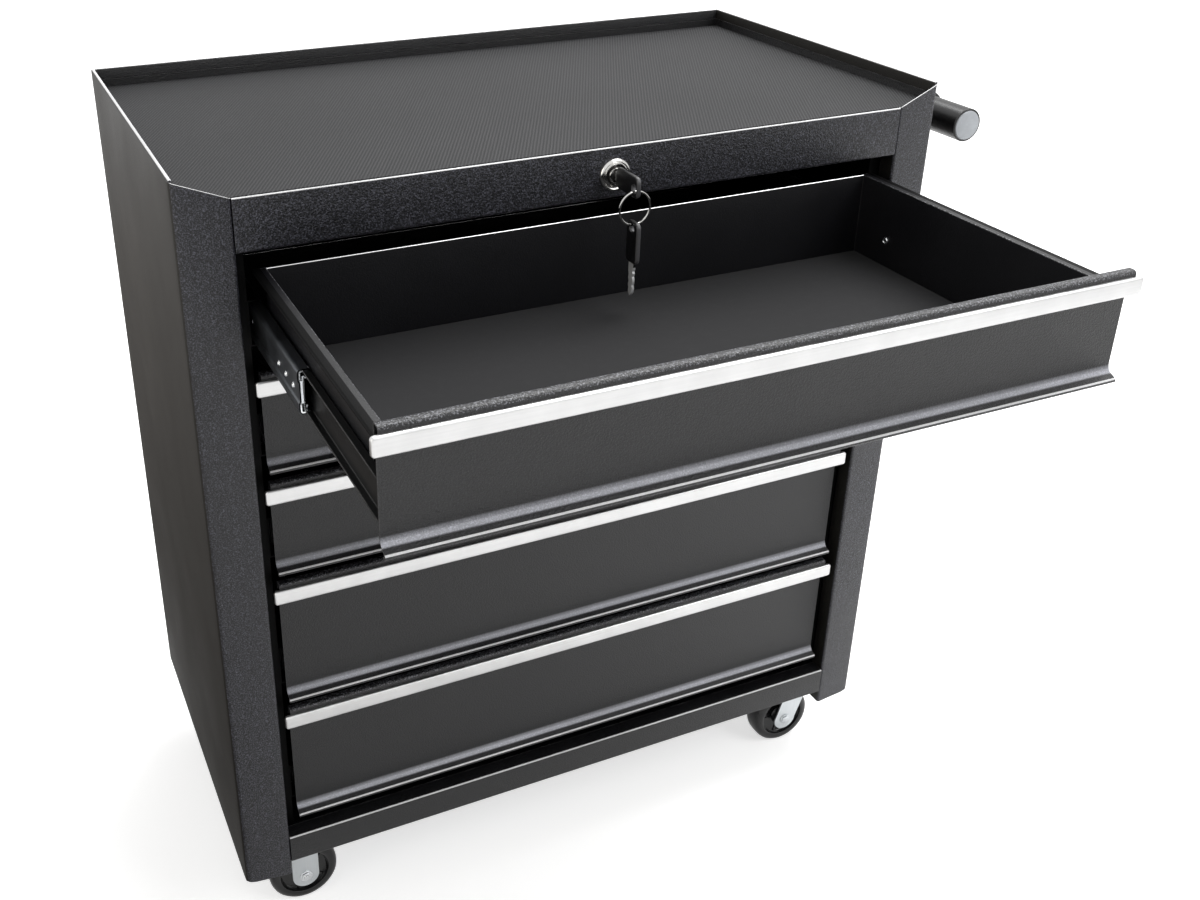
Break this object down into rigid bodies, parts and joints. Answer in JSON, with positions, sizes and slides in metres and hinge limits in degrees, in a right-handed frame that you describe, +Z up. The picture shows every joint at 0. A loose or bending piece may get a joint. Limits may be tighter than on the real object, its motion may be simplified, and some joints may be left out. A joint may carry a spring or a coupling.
{
  "type": "rolling tool cabinet",
  "caption": "Low rolling tool cabinet in black sheet metal with full-width aluminium drawer pulls, a key lock, a rimmed worktop mat, a side push handle and casters.",
  "frame": {"origin": "on the floor, in the middle of the whole object's footprint with the top drawer standing open", "axes": "+Z up, -Y out of the drawer side, +X to the side with the push handle"},
  "size_m": [0.683, 0.585, 0.692],
  "materials": {
    "black_paint": "fine leather-grain powder coat, satin",
    "mat_rubber": "matt ribbed mat",
    "liner_foam": "matt smooth drawer liner",
    "strip_aluminium": "satin anodised",
    "zinc_steel": "bright zinc plating",
    "runner_black": "black coated runner steel",
    "lock_chrome": "polished",
    "key_plastic": "satin black grip on a steel blade",
    "wheel_plastic": "glossy black",
    "cap_plastic": "light grey"
  },
  "bodies": {
    "carcass": {"side_panel_left": "black_paint", "side_panel_right": "black_paint", "back_panel": "black_paint", "base_pan": "black_paint", "top_tray": "black_paint", "top_mat": "mat_rubber", "lock_rail": "black_paint", "bottom_rail": "black_paint", "runner_uprights": "black_paint", "outer_runners": "zinc_steel", "handle_bar": "black_paint", "handle_end_caps": "cap_plastic", "handle_brackets": "black_paint", "lock_housing": "lock_chrome", "fixed_caster_frames": "zinc_steel", "fixed_caster_axles": "zinc_steel", "swivel_caster_plates": "zinc_steel", "caster_bolts": "zinc_steel"},
    "lock_core": {"lock_plug": "lock_chrome", "lock_cam": "zinc_steel"},
    "key": {"key": "key_plastic"},
    "key_ring": {"key_ring": "lock_chrome"},
    "spare_key": {"spare_key": "key_plastic"},
    "swivel_front": {"swivel_fork_front": "zinc_steel"},
    "swivel_rear": {"swivel_fork_rear": "zinc_steel"},
    "wheel_front_left": {"wheel_front_left": "wheel_plastic"},
    "wheel_rear_left": {"wheel_rear_left": "wheel_plastic"},
    "wheel_front_right": {"wheel_front_right": "wheel_plastic"},
    "wheel_rear_right": {"wheel_rear_right": "wheel_plastic"},
    "drawer_1": {"drawer_1_tray": "black_paint", "drawer_1_front": "black_paint", "drawer_1_handle": "strip_aluminium", "drawer_1_mat": "liner_foam", "drawer_1_inner_runners": "runner_black"},
    "drawer_1_mid": {"drawer_1_mid_runners": "zinc_steel"},
    "drawer_2": {"drawer_2_tray": "black_paint", "drawer_2_front": "black_paint", "drawer_2_handle": "strip_aluminium", "drawer_2_mat": "liner_foam", "drawer_2_inner_runners": "runner_black"},
    "drawer_2_mid": {"drawer_2_mid_runners": "zinc_steel"},
    "drawer_3": {"drawer_3_tray": "black_paint", "drawer_3_front": "black_paint", "drawer_3_handle": "strip_aluminium", "drawer_3_mat": "liner_foam", "drawer_3_inner_runners": "runner_black"},
    "drawer_3_mid": {"drawer_3_mid_runners": "zinc_steel"},
    "drawer_4": {"drawer_4_tray": "black_paint", "drawer_4_front": "black_paint", "drawer_4_handle": "strip_aluminium", "drawer_4_mat": "liner_foam", "drawer_4_inner_runners": "runner_black"},
    "drawer_4_mid": {"drawer_4_mid_runners": "zinc_steel"},
    "drawer_5": {"drawer_5_tray": "black_paint", "drawer_5_front": "black_paint", "drawer_5_handle": "strip_aluminium", "drawer_5_mat": "liner_foam", "drawer_5_inner_runners": "runner_black"},
    "drawer_5_mid": {"drawer_5_mid_runners": "zinc_steel"}
  },
  "joints": [
    {"name": "drawer_1_slide", "type": "slide", "parent": "carcass", "child": "drawer_1", "axis": [0, -1, 0], "range_m": [-0.256, 0.008]},
    {"name": "drawer_1_mid_slide", "type": "slide", "parent": "carcass", "child": "drawer_1_mid", "axis": [0, -1, 0], "range_m": [-0.128, 0.004]},
    {"name": "drawer_2_slide", "type": "slide", "parent": "carcass", "child": "drawer_2", "axis": [0, -1, 0], "range_m": [0, 0.264]},
    {"name": "drawer_2_mid_slide", "type": "slide", "parent": "carcass", "child": "drawer_2_mid", "axis": [0, -1, 0], "range_m": [0, 0.132]},
    {"name": "drawer_3_slide", "type": "slide", "parent": "carcass", "child": "drawer_3", "axis": [0, -1, 0], "range_m": [0, 0.264]},
    {"name": "drawer_3_mid_slide", "type": "slide", "parent": "carcass", "child": "drawer_3_mid", "axis": [0, -1, 0], "range_m": [0, 0.132]},
    {"name": "drawer_4_slide", "type": "slide", "parent": "carcass", "child": "drawer_4", "axis": [0, -1, 0], "range_m": [0, 0.264]},
    {"name": "drawer_4_mid_slide", "type": "slide", "parent": "carcass", "child": "drawer_4_mid", "axis": [0, -1, 0], "range_m": [0, 0.132]},
    {"name": "drawer_5_slide", "type": "slide", "parent": "carcass", "child": "drawer_5", "axis": [0, -1, 0], "range_m": [0, 0.264]},
    {"name": "drawer_5_mid_slide", "type": "slide", "parent": "carcass", "child": "drawer_5_mid", "axis": [0, -1, 0], "range_m": [0, 0.132]},
    {"name": "lock_turn", "type": "hinge", "parent": "carcass", "child": "lock_core", "pos_m": [-0.0205, -0.0375, 0.655], "axis": [0, 1, 0], "range_deg": [0, 90]},
    {"name": "key_pull", "type": "slide", "parent": "lock_core", "child": "key", "axis": [0, -1, 0], "range_m": [0, 0.03]},
    {"name": "ring_swing", "type": "hinge", "parent": "key", "child": "key_ring", "pos_m": [-0.0205, -0.069, 0.654], "axis": [-1, 0, 0], "range_deg": [-5, 80]},
    {"name": "spare_key_swing", "type": "hinge", "parent": "key_ring", "child": "spare_key", "pos_m": [-0.0205, -0.069, 0.6246], "axis": [-1, 0, 0], "range_deg": [-8, 60]},
    {"name": "swivel_front_turn", "type": "hinge", "parent": "carcass", "child": "swivel_front", "pos_m": [0.2385, 0.0095, 0.074], "axis": [0, 0, 1], "continuous": true},
    {"name": "wheel_front_left_roll", "type": "hinge", "parent": "carcass", "child": "wheel_front_left", "pos_m": [-0.2845, 0.0095, 0.031], "axis": [0, 1, 0], "continuous": true},
    {"name": "wheel_front_right_roll", "type": "hinge", "parent": "swivel_front", "child": "wheel_front_right", "pos_m": [0.2245, 0.0095, 0.031], "axis": [0, 1, 0], "continuous": true},
    {"name": "swivel_rear_turn", "type": "hinge", "parent": "carcass", "child": "swivel_rear", "pos_m": [0.2385, 0.2455, 0.074], "axis": [0, 0, 1], "continuous": true},
    {"name": "wheel_rear_left_roll", "type": "hinge", "parent": "carcass", "child": "wheel_rear_left", "pos_m": [-0.2845, 0.2455, 0.031], "axis": [0, 1, 0], "continuous": true},
    {"name": "wheel_rear_right_roll", "type": "hinge", "parent": "swivel_rear", "child": "wheel_rear_right", "pos_m": [0.2245, 0.2455, 0.031], "axis": [0, 1, 0], "continuous": true}
  ],
  "couplings": [
    {"joint": "drawer_1_mid_slide", "follows": "drawer_1_slide", "ratio": 0.5},
    {"joint": "drawer_2_mid_slide", "follows": "drawer_2_slide", "ratio": 0.5},
    {"joint": "drawer_3_mid_slide", "follows": "drawer_3_slide", "ratio": 0.5},
    {"joint": "drawer_4_mid_slide", "follows": "drawer_4_slide", "ratio": 0.5},
    {"joint": "drawer_5_mid_slide", "follows": "drawer_5_slide", "ratio": 0.5}
  ]
}
